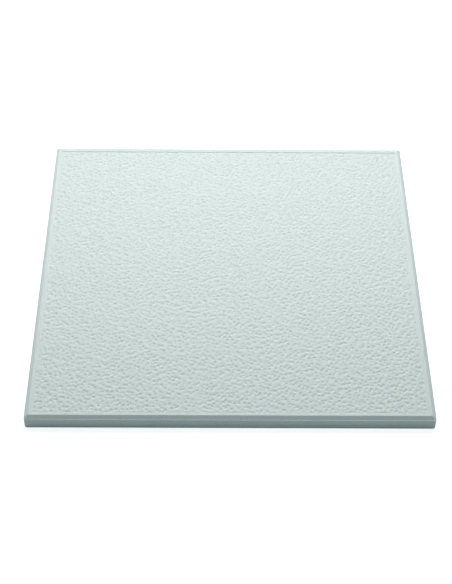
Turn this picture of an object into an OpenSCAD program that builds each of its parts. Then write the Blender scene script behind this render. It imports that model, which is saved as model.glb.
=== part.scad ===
// Polystyrene ceiling tile: one moulded foam slab with a plain back, upright
// sides, a bevel on a narrow shoulder, a flat rim and a sunk roughcast field.
// It lies on its back, with the roughcast face up and the origin at the
// centre of the back. All sizes are in millimetres.

/* [Slab] */
// Side of the square tile, over its upright sides
tile_side = 500; // [250:5:1000]
// Height of the upright sides, from the back to the shoulder
side_h = 16; // [5:0.5:40]
// Radius of the four upright corner edges
corner_r = 3; // [0.5:0.5:4]

/* [Edge moulding] */
// Width of the flat shoulder at the foot of the bevel
shoulder_w = 0.4; // [0.2:0.1:3]
// Width of the bevel, seen from the front
bevel_w = 4.6; // [1:0.2:20]
// Drop of the bevel, from the rim to the shoulder
bevel_drop = 3; // [0.5:0.5:10]
// Width of the flat rim
rim_w = 5.5; // [1:0.5:30]

/* [Roughcast field] */
// Width of the sloping wall between rim and roughcast, seen from the front
wall_w = 0.5; // [0.1:0.1:3]
// Depth of the highest grains below the rim
grain_sink = 0.2; // [0.1:0.1:2]
// Height of the roughcast, from its deepest pit to its highest grain
grain_h = 1.2; // [0.2:0.1:2.5]
// Grains and pits along each side of the field, by turns
grain_rows = 70; // [10:1:76]
// Furthest that a grain or pit strays from its place, as a share of the pitch
grain_stray = 0.3; // [0:0.02:0.3]
// Most that chance takes from a grain's height or a pit's depth, as a share of the roughcast's height
height_stray = 0.4; // [0:0.05:0.5]
// Seed of the roughcast's chance pattern
grain_seed = 11; // [1:1:99]

/* [Hidden] */

// Facets on a full turn of the corner edges
$fn = 64;

tile_t = side_h + bevel_drop;
rim_out = tile_side / 2 - shoulder_w - bevel_w;
rim_in = rim_out - rim_w;
field_out = rim_in - wall_w;
grain_pitch = 2 * field_out / grain_rows;
pit_z = tile_t - grain_sink - grain_h;
field_z = tile_t - grain_sink - grain_h / 2;
// The die reaches this far above the rim, and its walls keep their slope
die_over = 1;
die_top = rim_in + die_over * wall_w / (tile_t - field_z);

// Chance values, one for each grain or pit
grain_line = grain_rows + 1;
grain_count = grain_line * grain_line;
stray_x = rands(-grain_stray, grain_stray, grain_count, grain_seed);
stray_y = rands(-grain_stray, grain_stray, grain_count, grain_seed + 1);
stray_z = rands(0, height_stray, grain_count, grain_seed + 2);

function spot(i, j) = i * grain_line + j;
function at_wall(i, j) = min(i, j) == 0 || max(i, j) == grain_rows;
function along(i, stray) = (i + stray) * grain_pitch - field_out;

// Grains and pits take turns like the squares of a chessboard
function is_pit(i, j) = (i + j) % 2 == 0;
function rise(i, j) = is_pit(i, j) ? stray_z[spot(i, j)] : 1 - stray_z[spot(i, j)];

// By the wall, grains and pits keep their place and the mean height of the roughcast
function grain(i, j) =
    at_wall(i, j)
    ? [along(i, 0), along(j, 0), field_z]
    : [
        along(i, stray_x[spot(i, j)]),
        along(j, stray_y[spot(i, j)]),
        pit_z + grain_h * rise(i, j)
    ];

// Two triangles between four neighbours, split along the shorter diagonal
function patch(i, j) =
    let (
        a = spot(i, j),
        b = spot(i + 1, j),
        c = spot(i + 1, j + 1),
        d = spot(i, j + 1),
        span_ac = norm(grain(i, j) - grain(i + 1, j + 1)),
        span_bd = norm(grain(i + 1, j) - grain(i, j + 1))
    )
    span_ac > span_bd ? [[a, b, d], [b, c, d]] : [[a, b, c], [a, c, d]];

// Outline of the cross-section, from edge to edge of the tile
module section() {
    edge = tile_side / 2;
    foot = rim_out + bevel_w;
    polygon([
        [-edge, 0],
        [edge, 0],
        [edge, side_h],
        [foot, side_h],
        [rim_out, tile_t],
        [-rim_out, tile_t],
        [-foot, side_h],
        [-edge, side_h]
    ]);
}

// The section run the whole length of the tile
module moulding() {
    rotate([90, 0, 0])
        linear_extrude(tile_side, center = true)
            section();
}

// Square with round corners
module plan() {
    flat = tile_side - 2 * corner_r;
    centre = tile_side / 2 - corner_r;
    square([tile_side, flat], center = true);
    square([flat, tile_side], center = true);
    for (x = [-centre, centre], y = [-centre, centre])
        translate([x, y])
            circle(corner_r);
}

// Slab with a mitred bevel all round, where two mouldings cross
module blank() {
    intersection() {
        moulding();
        rotate(90)
            moulding();
        linear_extrude(tile_t)
            plan();
    }
}

// Die that presses the field: roughcast underneath, sloping walls, flat top
module roughcast_die() {
    die_z = tile_t + die_over;
    corners = [
        [-die_top, -die_top, die_z],
        [die_top, -die_top, die_z],
        [die_top, die_top, die_z],
        [-die_top, die_top, die_z]
    ];
    front_left = grain_count;
    front_right = grain_count + 1;
    back_right = grain_count + 2;
    back_left = grain_count + 3;
    steps = [0:grain_rows];
    cells = [0:grain_rows - 1];
    underside = [for (i = cells, j = cells) each patch(i, j)];
    front_wall = [front_left, front_right, for (i = steps) spot(grain_rows - i, 0)];
    right_wall = [front_right, back_right, for (j = steps) spot(grain_rows, grain_rows - j)];
    back_wall = [back_right, back_left, for (i = steps) spot(i, grain_rows)];
    left_wall = [back_left, front_left, for (j = steps) spot(0, j)];
    top = [back_left, back_right, front_right, front_left];
    polyhedron(
        points = [for (i = steps, j = steps) grain(i, j), each corners],
        faces = [each underside, front_wall, right_wall, back_wall, left_wall, top]
    );
}

module tile() {
    color("#dde8e6")
        difference() {
            blank();
            roughcast_die();
        }
}

tile();
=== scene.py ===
import bpy
import math
from mathutils import Matrix, Vector


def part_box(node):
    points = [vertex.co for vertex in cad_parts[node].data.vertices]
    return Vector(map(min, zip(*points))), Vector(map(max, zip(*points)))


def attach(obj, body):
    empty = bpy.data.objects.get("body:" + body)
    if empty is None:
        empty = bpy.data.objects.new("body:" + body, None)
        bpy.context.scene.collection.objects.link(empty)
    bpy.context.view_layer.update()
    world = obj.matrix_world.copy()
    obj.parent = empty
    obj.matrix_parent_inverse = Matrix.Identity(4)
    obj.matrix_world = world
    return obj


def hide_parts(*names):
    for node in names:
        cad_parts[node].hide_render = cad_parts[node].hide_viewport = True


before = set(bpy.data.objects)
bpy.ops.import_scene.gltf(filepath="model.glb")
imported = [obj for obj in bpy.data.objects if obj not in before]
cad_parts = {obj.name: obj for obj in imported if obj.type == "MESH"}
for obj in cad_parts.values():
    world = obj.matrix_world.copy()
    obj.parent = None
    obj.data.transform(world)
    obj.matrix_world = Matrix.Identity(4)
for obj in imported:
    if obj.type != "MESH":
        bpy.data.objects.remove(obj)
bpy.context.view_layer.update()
print("frame loaded")

mm = 0.001
white = (1, 1, 1, 1)
cadLow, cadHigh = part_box("tile")


# Adds one node: settings are its own options, plugs are values or other nodes' sockets
def addNode(tree, kind, plugs=None, **settings):
    node = tree.nodes.new(kind)
    for name, value in settings.items():
        setattr(node, name, value)
    for key, value in (plugs or {}).items():
        if isinstance(value, bpy.types.NodeSocket):
            tree.links.new(value, node.inputs[key])
        else:
            node.inputs[key].default_value = value
    return node


# One arithmetic node. This and the next few work in geometry and material trees alike.
def calc(tree, operation, *values, clamp=False):
    node = addNode(
        tree, "ShaderNodeMath", dict(enumerate(values)), operation=operation, use_clamp=clamp,
    )
    return node.outputs[0]


def splitVector(tree, vector):
    return addNode(tree, "ShaderNodeSeparateXYZ", {0: vector}).outputs


# The parts that aren't given are 0
def joinVector(tree, **parts):
    return addNode(tree, "ShaderNodeCombineXYZ", parts).outputs[0]


def scaleVector(tree, vector, factor):
    return addNode(
        tree, "ShaderNodeVectorMath", {0: vector, "Scale": factor}, operation="SCALE",
    ).outputs[0]


# 1 where the value is 0, falling smoothly to 0 at the reach
def fallOff(tree, value, reach):
    return addNode(
        tree, "ShaderNodeMapRange",
        {"Value": value, "From Min": 0.0, "From Max": reach, "To Min": 1.0, "To Max": 0.0},
        interpolation_type="SMOOTHSTEP",
    ).outputs[0]


# 1 well inside a square about the origin, falling to 0 at its border
def squareFade(tree, place, half, width, curve):
    axes = splitVector(tree, place)
    reach = calc(tree, "MAXIMUM", calc(tree, "ABSOLUTE", axes[0]), calc(tree, "ABSOLUTE", axes[1]))
    return addNode(
        tree, "ShaderNodeMapRange",
        {"Value": calc(tree, "SUBTRACT", half, reach), "From Min": 0.0, "From Max": width},
        interpolation_type=curve,
    ).outputs[0]


# Camera. The photograph looks down on the tile from in front.
shot = {
    "place": (-20.4 * mm, -1276.6 * mm, 1325.5 * mm),
    "yaw": 0.730,           # degrees, to the right of +Y
    "pitch": 46.573,        # degrees below the horizon
    "roll": 0.766,          # degrees
    "focalPixels": 1372.0,
    "frameHeight": 584,     # pixels, the frame's longer side
    "sensor": 36.0,         # millimetres along that side
}


def makeCamera():
    yaw, pitch, roll = (math.radians(shot[key]) for key in ("yaw", "pitch", "roll"))
    flat = math.cos(pitch)
    ahead = Vector((math.sin(yaw) * flat, math.cos(yaw) * flat, -math.sin(pitch)))
    level = Vector((math.cos(yaw), -math.sin(yaw), 0))
    over = level.cross(ahead)
    right = math.cos(roll) * level + math.sin(roll) * over
    up = math.cos(roll) * over - math.sin(roll) * level
    data = bpy.data.cameras.new("photoCamera")
    data.sensor_width = shot["sensor"]
    data.lens = shot["focalPixels"] * shot["sensor"] / shot["frameHeight"]
    camera = bpy.data.objects.new("photoCamera", data)
    turn = Matrix((right, up, -ahead)).transposed().to_4x4()
    camera.matrix_world = Matrix.Translation(shot["place"]) @ turn
    bpy.context.scene.collection.objects.link(camera)
    bpy.context.scene.camera = camera


makeCamera()
print("camera placed")

# The tile, with its widths as seen from above. Its edge follows the photograph a little closer
# than the source does: the bevel is steeper, and the field isn't quite in the middle.
tileForm = {
    "side": cadHigh.x - cadLow.x,
    "height": cadHigh.z - cadLow.z,
    "sideHeight": 15.7 * mm,    # upright, up to the shoulder
    "shoulder": 0.5 * mm,       # flat step at the foot of the bevel
    "bevel": 4.3 * mm,
    "rim": 4.1 * mm,
    "wall": 0.5 * mm,           # slopes from the rim down to the roughcast
    "fieldShift": (0, -1.4 * mm, 0),    # of the roughcast and its wall
    "cornerRadius": 3 * mm,
    "backMargin": 2 * mm,       # strip of the back that the edge brings along
    # Roughcast
    "grainSink": 0.3 * mm,      # from the rim down to its smooth ground
    "grainHeight": 1.25 * mm,   # from there to the deepest pit
    "grainPitch": 5.5 * mm,
    "grainTurn": math.radians(25),      # keeps the pits' rows off the tile's own lines
    "pitStray": 0.8,            # from 0, all pits in rows, to 1, all by chance
    "pitReach": 0.48,           # radius of a pit, as a share of the pitch
    "depthStray": 0.5,          # most that chance takes from a pit's depth
    "middle": 0.5,              # share of the grain height at which the field meets its wall
    "fade": 1.6 * mm,           # by the wall, the pits die out over this width
    "cells": 280,               # of the field's mesh, along a side
    "seed": 11,
    # Radii that soften the corners of the section, and the points added to each
    "softWall": 0.3 * mm,
    "softRim": 0.3 * mm,
    "softFoot": 0.1 * mm,
    "softShoulder": 0.1 * mm,
    "softBack": 0.4 * mm,
    "softPoints": 2,
    "weld": 0.01 * mm,          # points closer than this become one
}


# Section of the edge, from the field's border out, down the side and in under the back
def makeProfile():
    form = tileForm
    edge = form["side"] / 2
    foot = edge - form["shoulder"]
    rimOut = foot - form["bevel"]
    rimIn = rimOut - form["rim"]
    fieldOut = rimIn - form["wall"]
    fieldLevel = form["height"] - form["grainSink"] - form["grainHeight"] * (1 - form["middle"])
    stations = [
        (fieldOut, fieldLevel, 0),
        (rimIn, form["height"], form["softWall"]),
        (rimOut, form["height"], form["softRim"]),
        (foot, form["sideHeight"], form["softFoot"]),
        (edge, form["sideHeight"], form["softShoulder"]),
        (edge, 0, form["softBack"]),
        (edge - form["backMargin"], 0, 0),
    ]
    data = bpy.data.curves.new("edgeSection", "CURVE")
    data.dimensions = "3D"
    spline = data.splines.new("POLY")
    spline.points.add(len(stations) - 1)
    for point, (out, level, softness) in zip(spline.points, stations):
        point.co = (out, 0, level, 1)
        point.radius = softness
    profile = bpy.data.objects.new("edgeSection", data)
    bpy.context.scene.collection.objects.link(profile)
    return profile, fieldOut, fieldLevel, rimOut


# Height of the roughcast at a place, from 0 to 1: round pits set close and by chance, with
# smooth ground between. The mesh, the foam's bump and its painted pit shade share it.
def roughcastHeight(tree, place, pitch, seed):
    across = scaleVector(tree, place, calc(tree, "DIVIDE", 1.0, pitch))
    turned = addNode(
        tree, "ShaderNodeVectorRotate",
        {"Vector": across, "Angle": tileForm["grainTurn"]},
        rotation_type="Z_AXIS",
    ).outputs[0]
    shift = joinVector(tree, X=seed, Y=seed)
    spot = addNode(tree, "ShaderNodeVectorMath", {0: turned, 1: shift}).outputs[0]
    pits = addNode(
        tree, "ShaderNodeTexVoronoi",
        {"Vector": spot, "Scale": 1.0, "Randomness": tileForm["pitStray"]},
        voronoi_dimensions="2D",
    ).outputs
    hollow = fallOff(tree, pits["Distance"], tileForm["pitReach"])
    chance = splitVector(tree, pits["Color"])[0]
    share = calc(tree, "MULTIPLY_ADD", chance, -tileForm["depthStray"], 1.0)
    return calc(tree, "SUBTRACT", 1.0, calc(tree, "MULTIPLY", hollow, share))


# Position of each point of the mesh or curve
def pointPlace(tree):
    return addNode(tree, "GeometryNodeInputPosition").outputs[0]


# Field: a fine grid, its roughcast fading to the middle height at the wall
def addField(tree, plugs):
    size = calc(tree, "MULTIPLY", plugs["Field Half"], 2.0)
    lines = calc(tree, "ADD", plugs["Cells"], 1.0)
    grid = addNode(
        tree, "GeometryNodeMeshGrid",
        {"Size X": size, "Size Y": size, "Vertices X": lines, "Vertices Y": lines},
    )
    place = pointPlace(tree)
    height = roughcastHeight(tree, place, plugs["Grain Pitch"], plugs["Seed"])
    inside = squareFade(tree, place, plugs["Field Half"], tileForm["fade"], "SMOOTHSTEP")
    lift = calc(tree, "MULTIPLY", calc(tree, "SUBTRACT", height, tileForm["middle"]), inside)
    level = calc(tree, "MULTIPLY_ADD", lift, plugs["Grain Height"], plugs["Field Level"])
    return addNode(
        tree, "GeometryNodeSetPosition",
        {"Geometry": grid.outputs[0], "Offset": joinVector(tree, Z=level)},
    ).outputs[0]


# Edge: each turn of a repeat zone pulls the border out by one step of the softened section
def addEdge(tree, plugs, field):
    section = addNode(
        tree, "GeometryNodeObjectInfo",
        {"Object": plugs["Edge Section"]},
        transform_space="ORIGINAL",
    )
    softened = addNode(
        tree, "GeometryNodeFilletCurve",
        {
            "Curve": section.outputs["Geometry"],
            "Radius": addNode(tree, "GeometryNodeInputRadius").outputs[0],
            "Limit Radius": True,
            "Count": tileForm["softPoints"],
        },
        mode="POLY",
    ).outputs[0]
    size = addNode(tree, "GeometryNodeAttributeDomainSize", {0: softened}, component="CURVE")
    steps = calc(tree, "SUBTRACT", size.outputs["Point Count"], 1.0)
    neighbours = addNode(tree, "GeometryNodeInputMeshEdgeNeighbors").outputs[0]
    border = addNode(
        tree, "FunctionNodeCompare", {"A": neighbours, "B": 1}, data_type="INT", operation="EQUAL",
    ).outputs[0]
    opening = tree.nodes.new("GeometryNodeRepeatInput")
    closing = tree.nodes.new("GeometryNodeRepeatOutput")
    opening.pair_with_output(closing)
    closing.repeat_items.new("BOOLEAN", "Border")
    for name, source in (("Iterations", steps), ("Geometry", field), ("Border", border)):
        tree.links.new(source, opening.inputs[name])

    # The section's point of this turn and the next
    turn = opening.outputs["Iteration"]
    here, there = (
        splitVector(
            tree,
            addNode(
                tree, "GeometryNodeSampleIndex",
                {"Geometry": softened, "Value": pointPlace(tree), "Index": index},
                data_type="FLOAT_VECTOR",
            ).outputs[0],
        )
        for index in (turn, calc(tree, "ADD", turn, 1.0))
    )
    growth = calc(tree, "SUBTRACT", calc(tree, "DIVIDE", there[0], here[0]), 1.0)
    rise = calc(tree, "SUBTRACT", there[2], here[2])
    pulled = addNode(
        tree, "GeometryNodeExtrudeMesh",
        {
            "Mesh": opening.outputs["Geometry"],
            "Selection": opening.outputs["Border"],
            "Offset Scale": 0.0,
        },
        mode="EDGES",
    ).outputs
    spot = splitVector(tree, pointPlace(tree))
    out = [calc(tree, "MULTIPLY", spot[axis], growth) for axis in (0, 1)]
    moved = addNode(
        tree, "GeometryNodeSetPosition",
        {
            "Geometry": pulled["Mesh"],
            "Selection": pulled["Top"],
            "Offset": joinVector(tree, X=out[0], Y=out[1], Z=rise),
        },
    )
    tree.links.new(moved.outputs[0], closing.inputs["Geometry"])
    tree.links.new(pulled["Top"], closing.inputs["Border"])
    return closing.outputs


# Back: one flat face fills the last border and is welded on
def addBack(tree, shell):
    outline = addNode(
        tree, "GeometryNodeMeshToCurve", {"Mesh": shell["Geometry"], "Selection": shell["Border"]},
    )
    plate = addNode(tree, "GeometryNodeFillCurve", {"Curve": outline.outputs[0]}, mode="NGONS")
    back = addNode(tree, "GeometryNodeFlipFaces", {"Mesh": plate.outputs[0]})
    joined = addNode(tree, "GeometryNodeJoinGeometry")
    tree.links.new(back.outputs[0], joined.inputs[0])
    tree.links.new(shell["Geometry"], joined.inputs[0])
    return addNode(
        tree, "GeometryNodeMergeByDistance",
        {"Geometry": joined.outputs[0], "Distance": tileForm["weld"]},
    ).outputs[0]


# The field and its wall move together, and the rim takes up the difference
def shiftField(tree, plugs, body):
    within = squareFade(tree, pointPlace(tree), plugs["Rim Half"], plugs["Rim"], "LINEAR")
    offset = scaleVector(tree, plugs["Field Shift"], within)
    return addNode(
        tree, "GeometryNodeSetPosition", {"Geometry": body, "Offset": offset},
    ).outputs[0]


# Upright corners: squares beyond the corner's start are drawn in to arcs
def roundCorners(tree, plugs, body):
    nearZero = 1e-9     # keeps the division from meeting 0
    spot = splitVector(tree, pointPlace(tree))
    beyond = []
    for axis in (0, 1):
        past = calc(tree, "SUBTRACT", calc(tree, "ABSOLUTE", spot[axis]), plugs["Corner Start"])
        beyond.append(calc(tree, "MAXIMUM", past, 0.0))
    far = calc(tree, "SQRT", calc(tree, "ADD", *(calc(tree, "MULTIPLY", b, b) for b in beyond)))
    draw = calc(
        tree, "DIVIDE", calc(tree, "MAXIMUM", *beyond), calc(tree, "MAXIMUM", far, nearZero),
    )
    cut = []
    for axis in (0, 1):
        inward = calc(tree, "MULTIPLY", beyond[axis], calc(tree, "SUBTRACT", draw, 1.0))
        cut.append(calc(tree, "MULTIPLY", inward, calc(tree, "SIGN", spot[axis])))
    inCorner = calc(tree, "GREATER_THAN", calc(tree, "MINIMUM", *beyond), 0.0)
    return addNode(
        tree, "GeometryNodeSetPosition",
        {"Geometry": body, "Selection": inCorner, "Offset": joinVector(tree, X=cut[0], Y=cut[1])},
    ).outputs[0]


def makeTileTree():
    tree = bpy.data.node_groups.new("roughcastTile", "GeometryNodeTree")
    sockets = [
        ("Edge Section", "NodeSocketObject"),
        ("Field Half", "NodeSocketFloat"),
        ("Field Level", "NodeSocketFloat"),
        ("Field Shift", "NodeSocketVector"),
        ("Cells", "NodeSocketInt"),
        ("Grain Pitch", "NodeSocketFloat"),
        ("Grain Height", "NodeSocketFloat"),
        ("Seed", "NodeSocketInt"),
        ("Rim Half", "NodeSocketFloat"),
        ("Rim", "NodeSocketFloat"),
        ("Corner Start", "NodeSocketFloat"),
        ("Foam", "NodeSocketMaterial"),
    ]
    for name, kind in sockets:
        tree.interface.new_socket(name, in_out="INPUT", socket_type=kind)
    tree.interface.new_socket("Geometry", in_out="OUTPUT", socket_type="NodeSocketGeometry")
    plugs = addNode(tree, "NodeGroupInput").outputs
    body = addBack(tree, addEdge(tree, plugs, addField(tree, plugs)))
    body = roundCorners(tree, plugs, shiftField(tree, plugs, body))
    smooth = addNode(tree, "GeometryNodeSetShadeSmooth", {0: body})
    real = addNode(tree, "GeometryNodeRealizeInstances", {0: smooth.outputs[0]})
    finish = addNode(
        tree, "GeometryNodeSetMaterial", {0: real.outputs[0], "Material": plugs["Foam"]},
    )
    addNode(tree, "NodeGroupOutput", {0: finish.outputs[0]})
    return tree


# Expanded foam: beads pressed together, each a shade of its own, with fine seams between them
foamLook = {
    "light": (0.755, 0.820, 0.811, 1),
    "dark": (0.737, 0.804, 0.795, 1),
    "seam": (0.69, 0.76, 0.752, 1),
    "pit": (0.73, 0.80, 0.791, 1),      # painted shade: little light gets out of a pit
    "beadSize": 3.2 * mm,
    "seamWidth": 0.08,          # of a bead
    "seamDepth": 0.03 * mm,
    "cloudSize": 120 * mm,      # broad, faint changes of shade
    "cloudDetail": 2.0,
    "reliefDepth": 0.62 * mm,   # of the pits' finer part, which is bump
    "polished": 0.7,            # roughness, from the smoothest bead
    "rough": 0.8,               # to the dullest one
    "specular": 0.2,
}


# Blend of two colours, through the colour sockets of the Mix node
def blend(tree, share, first, second):
    mix = addNode(tree, "ShaderNodeMix", {0: share, 6: first, 7: second}, data_type="RGBA")
    return mix.outputs[2]


def makeFoam(fieldOut):
    look = foamLook
    material = bpy.data.materials.new("mouldedFoam")
    material.use_nodes = True
    tree = material.node_tree
    shader = tree.nodes["Principled BSDF"]
    shader.inputs["Specular IOR Level"].default_value = look["specular"]
    place = addNode(tree, "ShaderNodeTexCoord").outputs["Object"]

    # Beads and their seams
    beads = {"Vector": place, "Scale": 1 / look["beadSize"]}
    bead = addNode(tree, "ShaderNodeTexVoronoi", beads).outputs["Color"]
    beadShade = addNode(tree, "ShaderNodeSeparateColor", {0: bead}).outputs
    gap = addNode(tree, "ShaderNodeTexVoronoi", beads, feature="DISTANCE_TO_EDGE")
    seam = fallOff(tree, gap.outputs["Distance"], look["seamWidth"])

    # Roughcast, measured from the middle of the field as in the mesh, for the pits' bump and their
    # painted shade. The back has none.
    onField = addNode(
        tree, "ShaderNodeVectorMath", {0: place, 1: tileForm["fieldShift"]}, operation="SUBTRACT",
    ).outputs[0]
    height = roughcastHeight(tree, onField, tileForm["grainPitch"], tileForm["seed"])
    inside = squareFade(tree, onField, fieldOut, tileForm["fade"], "SMOOTHSTEP")
    upper = calc(tree, "GREATER_THAN", splitVector(tree, place)[2], tileForm["sideHeight"])
    onFace = calc(tree, "MULTIPLY", inside, upper)
    # Share of each pit's depth here: it sets both the pit's bump and its painted shade
    pitShare = calc(tree, "MULTIPLY", calc(tree, "SUBTRACT", 1.0, height), onFace)

    # Colour: the mean of clouds and beads' own shades, then darker seams, and painted shade in the
    # pits
    cloud = addNode(
        tree, "ShaderNodeTexNoise",
        {"Vector": place, "Scale": 1 / look["cloudSize"], "Detail": look["cloudDetail"]},
    ).outputs[0]
    shade = calc(tree, "MULTIPLY", calc(tree, "ADD", cloud, beadShade[0]), 0.5, clamp=True)
    body = blend(tree, shade, look["dark"], look["light"])
    seamed = blend(tree, seam, body, look["seam"])
    tree.links.new(blend(tree, pitShare, seamed, look["pit"]), shader.inputs["Base Color"])

    # Gloss: each bead a little more or less polished by the mould
    gloss = addNode(
        tree, "ShaderNodeMapRange",
        {"Value": beadShade[1], "To Min": look["polished"], "To Max": look["rough"]},
    )
    tree.links.new(gloss.outputs[0], shader.inputs["Roughness"])

    # Relief: the finer part of the pits, and the sunk seams
    relief = calc(tree, "MULTIPLY", pitShare, -look["reliefDepth"])
    relief = calc(tree, "MULTIPLY_ADD", seam, -look["seamDepth"], relief)
    bump = addNode(tree, "ShaderNodeBump", {"Height": relief, "Distance": 1.0})
    tree.links.new(bump.outputs[0], shader.inputs["Normal"])
    return material


def makeTile():
    profile, fieldOut, fieldLevel, rimOut = makeProfile()
    tree = makeTileTree()
    maker = bpy.data.objects.new("tileMaker", bpy.data.meshes.new("tileMaker"))
    bpy.context.scene.collection.objects.link(maker)
    modifier = maker.modifiers.new("roughcastTile", "NODES")
    modifier.node_group = tree
    values = {
        "Edge Section": profile,
        "Field Half": fieldOut,
        "Field Level": fieldLevel,
        "Field Shift": tileForm["fieldShift"],
        "Cells": tileForm["cells"],
        "Grain Pitch": tileForm["grainPitch"],
        "Grain Height": tileForm["grainHeight"],
        "Seed": tileForm["seed"],
        "Rim Half": rimOut,
        "Rim": tileForm["rim"],
        "Corner Start": tileForm["side"] / 2 - tileForm["cornerRadius"],
        "Foam": makeFoam(fieldOut),
    }
    for item in tree.interface.items_tree:
        if item.in_out == "INPUT":
            modifier[item.identifier] = values[item.name]
    weigh = maker.modifiers.new("flatFaces", "WEIGHTED_NORMAL")
    weigh.keep_sharp = True
    graph = bpy.context.evaluated_depsgraph_get()
    mesh = bpy.data.meshes.new_from_object(maker.evaluated_get(graph))
    mesh.name = "foamTile"
    tile = bpy.data.objects.new("foamTile", mesh)
    bpy.context.scene.collection.objects.link(tile)
    for spare in (maker, profile):
        bpy.data.objects.remove(spare)
    print("tile made:", len(mesh.polygons), "faces")
    return tile


tile = makeTile()
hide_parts("tile")
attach(tile, "root")

# Floor, sky and lamps, in metres. Two soft lamps stand behind the tile: a wide panel close
# above its back edge, and a far one.
studio = {
    "floorSize": 8.0,
    "floorColour": (0.88, 0.95, 0.95, 1),
    "floorGlow": 0.79,      # near the tile; seen by the camera and by mirrors only
    "nearFloor": 0.35,      # from here on the glow grows to 1 at farFloor
    "farFloor": 0.9,
    "skyLight": 0.140,
    "skyColour": (0.72, 1.0, 1.04, 1),
    "lamps": {
        "panelLamp": {
            "place": (-0.02, 0.42, 0.97),
            "size": (1.6, 0.5),
            "power": 10.0,
            "colour": (0.985, 1.0, 0.975),
        },
        "farLamp": {
            "place": (-0.08, 2.8, 2.4),
            "size": (1.0, 1.0),
            "power": 37.0,
            "colour": (1.05, 0.98, 0.99),
        },
    },
}


# The first shader is for rays that see the backdrop itself, straight or by way of gloss and
# glass, and the second for the light that falls on it and comes from it
def backdropMix(tree, seen, lit):
    path = addNode(tree, "ShaderNodeLightPath").outputs
    mirrored = calc(tree, "MAXIMUM", path["Is Glossy Ray"], path["Is Transmission Ray"])
    sees = calc(tree, "MAXIMUM", path["Is Camera Ray"], mirrored)
    mix = addNode(tree, "ShaderNodeMixShader", {0: sees, 1: lit.outputs[0], 2: seen.outputs[0]})
    return mix.outputs[0]


def makeFloor():
    half = studio["floorSize"] / 2
    mesh = bpy.data.meshes.new("floor")
    corners = [(-half, -half, 0), (half, -half, 0), (half, half, 0), (-half, half, 0)]
    mesh.from_pydata(corners, [], [(0, 1, 2, 3)])
    floor = bpy.data.objects.new("floor", mesh)
    bpy.context.scene.collection.objects.link(floor)
    material = bpy.data.materials.new("whiteFloor")
    material.use_nodes = True
    tree = material.node_tree
    tree.nodes.clear()
    diffuse = addNode(tree, "ShaderNodeBsdfDiffuse", {"Color": studio["floorColour"]})
    place = addNode(tree, "ShaderNodeTexCoord").outputs["Object"]
    away = addNode(tree, "ShaderNodeVectorMath", {0: place}, operation="LENGTH")
    shine = addNode(
        tree, "ShaderNodeMapRange",
        {
            "Value": away.outputs["Value"],
            "From Min": studio["nearFloor"],
            "From Max": studio["farFloor"],
            "To Min": studio["floorGlow"],
        },
    ).outputs[0]
    glow = addNode(tree, "ShaderNodeEmission", {"Color": white, "Strength": shine})
    both = addNode(tree, "ShaderNodeAddShader", {0: diffuse.outputs[0], 1: glow.outputs[0]})
    addNode(tree, "ShaderNodeOutputMaterial", {"Surface": backdropMix(tree, both, diffuse)})
    mesh.materials.append(material)


def makeSky():
    world = bpy.data.worlds.new("studio")
    bpy.context.scene.world = world
    world.use_nodes = True
    tree = world.node_tree
    tree.nodes.clear()
    dim = addNode(
        tree, "ShaderNodeBackground",
        {"Color": studio["skyColour"], "Strength": studio["skyLight"]},
    )
    plain = addNode(tree, "ShaderNodeBackground", {"Color": white, "Strength": 1.0})
    addNode(tree, "ShaderNodeOutputWorld", {"Surface": backdropMix(tree, plain, dim)})


# Each lamp looks at the middle of the tile's back
def makeLamps():
    for name, lamp in studio["lamps"].items():
        data = bpy.data.lights.new(name, "AREA")
        data.shape = "RECTANGLE"
        data.size, data.size_y = lamp["size"]
        data.energy = lamp["power"]
        data.color = lamp["colour"]
        lampObject = bpy.data.objects.new(name, data)
        lampObject.location = lamp["place"]
        lampObject.rotation_mode = "QUATERNION"
        lampObject.rotation_quaternion = (-lampObject.location).to_track_quat("-Z", "Y")
        lampObject.visible_camera = False
        bpy.context.scene.collection.objects.link(lampObject)


makeFloor()
makeSky()
makeLamps()
bpy.context.scene.view_settings.view_transform = "Standard"
print("studio set")
